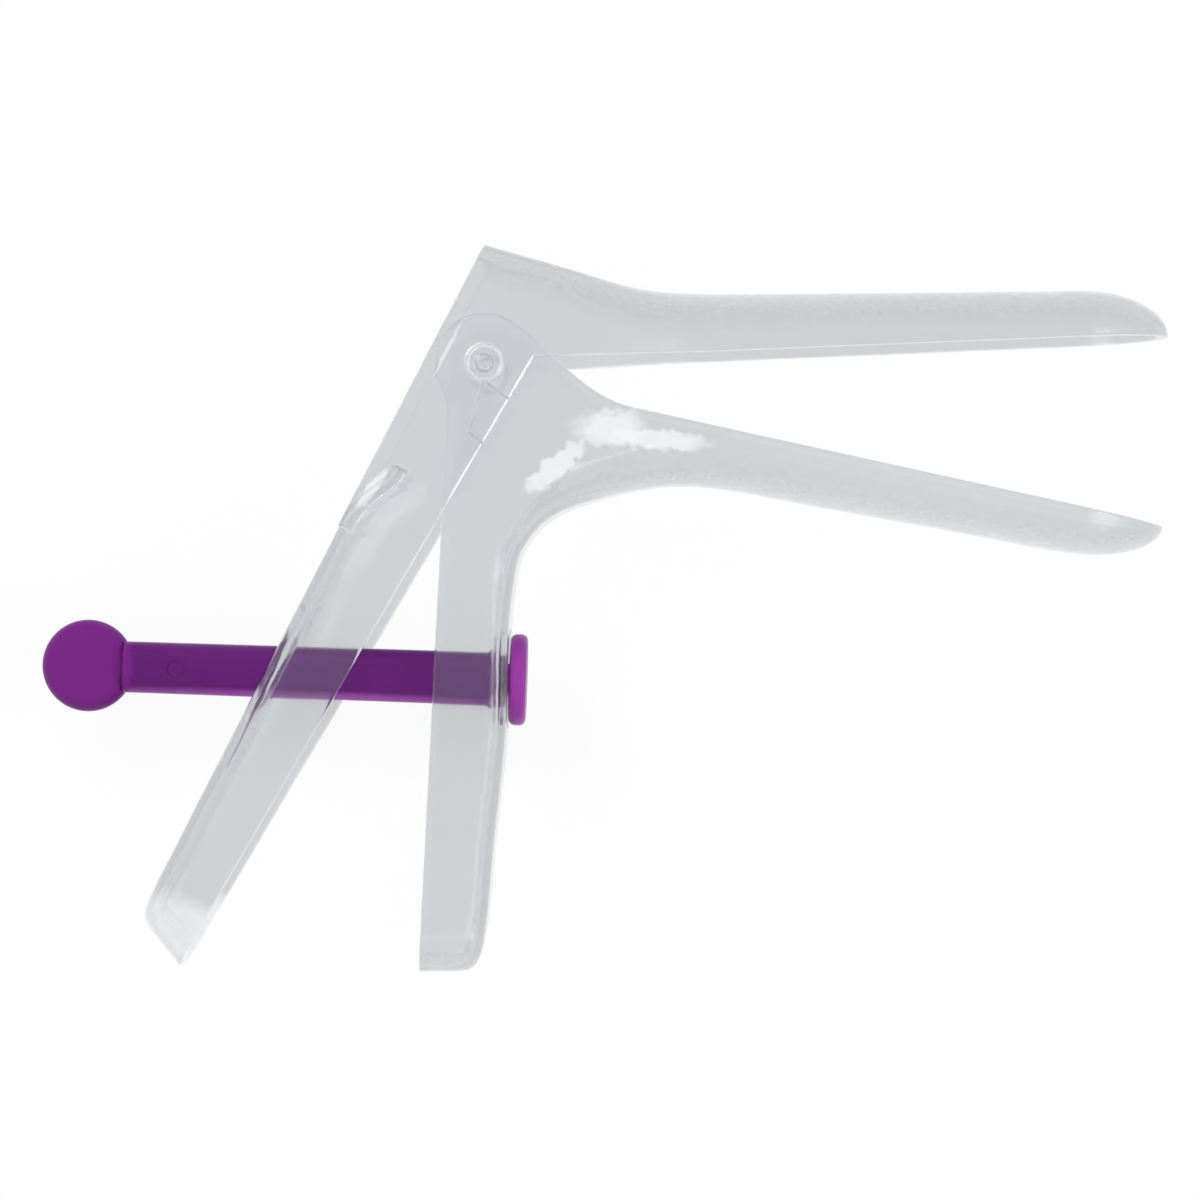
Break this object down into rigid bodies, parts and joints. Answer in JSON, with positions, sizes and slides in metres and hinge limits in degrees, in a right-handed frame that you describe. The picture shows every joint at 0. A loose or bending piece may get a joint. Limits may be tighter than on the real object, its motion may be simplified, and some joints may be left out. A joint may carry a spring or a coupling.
{
  "type": "bivalve speculum",
  "caption": "Clear plastic bivalve speculum lying on its side: hinged upper and lower blades with raked handles, held apart by a toothed coloured lock bar with a round thumb disc.",
  "frame": {"origin": "on the hinge axis, level with the outer face of the hinge ear that it lies on", "axes": "+X from the hinge towards the blades' tips, +Y from the handles up to the upper blade, +Z across the width, away from the surface it lies on"},
  "size_m": [0.1911, 0.1216, 0.036],
  "materials": {
    "clear_plastic": "clear, polished",
    "purple_plastic": "glossy"
  },
  "bodies": {
    "front_half": {"lower_blade": "clear_plastic"},
    "rear_half": {"upper_blade": "clear_plastic"},
    "lock_bar": {"lock_bar": "purple_plastic"}
  },
  "joints": [
    {"name": "blade_hinge", "type": "hinge", "parent": "front_half", "child": "rear_half", "pos_m": [0, 0, 0.018], "axis": [0, 0, 1], "range_deg": [-13, 16]},
    {"name": "lock_bar_turn", "type": "hinge", "parent": "front_half", "child": "lock_bar", "pos_m": [0.0036, -0.0527, 0.018], "axis": [0.9995, -0.0332, 0], "range_deg": [0, 90]}
  ]
}
